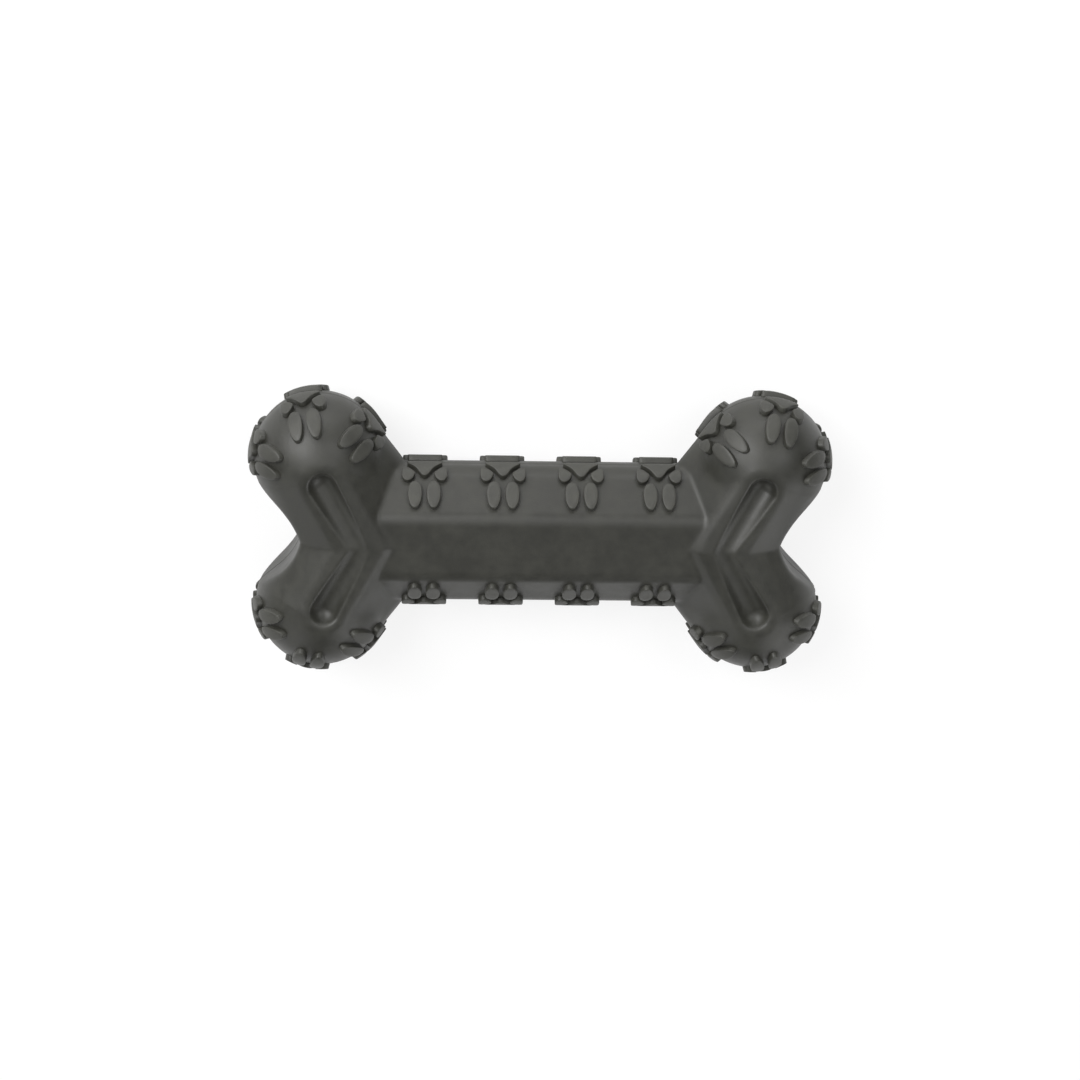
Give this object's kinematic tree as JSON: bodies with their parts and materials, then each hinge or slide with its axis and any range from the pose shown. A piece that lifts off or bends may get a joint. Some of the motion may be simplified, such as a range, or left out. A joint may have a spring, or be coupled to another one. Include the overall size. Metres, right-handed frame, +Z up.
{
  "type": "rubber chew toy",
  "caption": "Solid rubber chew bone with ball ends, a round-bottomed groove in each arm, a flat-panelled shaft and raised paw-print treads.",
  "frame": {"origin": "on the floor, under the middle of the bone as it lies on its back", "axes": "+X along the bone, +Y across it towards the upper pair of lobes, +Z up through its thickness towards the front face"},
  "size_m": [0.152, 0.077, 0.0342],
  "materials": {
    "body_rubber": "satin moulded natural rubber, dark grey with a slight olive warmth",
    "pad_rubber": "the same rubber, with flat matte tops"
  },
  "bodies": {
    "root": {"bone_body": "body_rubber", "shaft_paw_upper_1_front": "pad_rubber", "shaft_paw_upper_1_back": "pad_rubber", "shaft_paw_upper_2_front": "pad_rubber", "shaft_paw_upper_2_back": "pad_rubber", "shaft_paw_upper_3_front": "pad_rubber", "shaft_paw_upper_3_back": "pad_rubber", "shaft_paw_upper_4_front": "pad_rubber", "shaft_paw_upper_4_back": "pad_rubber", "shaft_paw_lower_1_front": "pad_rubber", "shaft_paw_lower_1_back": "pad_rubber", "shaft_paw_lower_2_front": "pad_rubber", "shaft_paw_lower_2_back": "pad_rubber", "shaft_paw_lower_3_front": "pad_rubber", "shaft_paw_lower_3_back": "pad_rubber", "shaft_paw_lower_4_front": "pad_rubber", "shaft_paw_lower_4_back": "pad_rubber", "lobe_paw_left_upper_inner_front": "pad_rubber", "lobe_paw_left_upper_inner_back": "pad_rubber", "lobe_paw_left_upper_middle_front": "pad_rubber", "lobe_paw_left_upper_middle_back": "pad_rubber", "lobe_paw_left_upper_outer_front": "pad_rubber", "lobe_paw_left_upper_outer_back": "pad_rubber", "lobe_paw_left_lower_inner_front": "pad_rubber", "lobe_paw_left_lower_inner_back": "pad_rubber", "lobe_paw_left_lower_middle_front": "pad_rubber", "lobe_paw_left_lower_middle_back": "pad_rubber", "lobe_paw_left_lower_outer_front": "pad_rubber", "lobe_paw_left_lower_outer_back": "pad_rubber", "lobe_paw_right_upper_inner_front": "pad_rubber", "lobe_paw_right_upper_inner_back": "pad_rubber", "lobe_paw_right_upper_middle_front": "pad_rubber", "lobe_paw_right_upper_middle_back": "pad_rubber", "lobe_paw_right_upper_outer_front": "pad_rubber", "lobe_paw_right_upper_outer_back": "pad_rubber", "lobe_paw_right_lower_inner_front": "pad_rubber", "lobe_paw_right_lower_inner_back": "pad_rubber", "lobe_paw_right_lower_middle_front": "pad_rubber", "lobe_paw_right_lower_middle_back": "pad_rubber", "lobe_paw_right_lower_outer_front": "pad_rubber", "lobe_paw_right_lower_outer_back": "pad_rubber"}
  },
  "joints": []
}
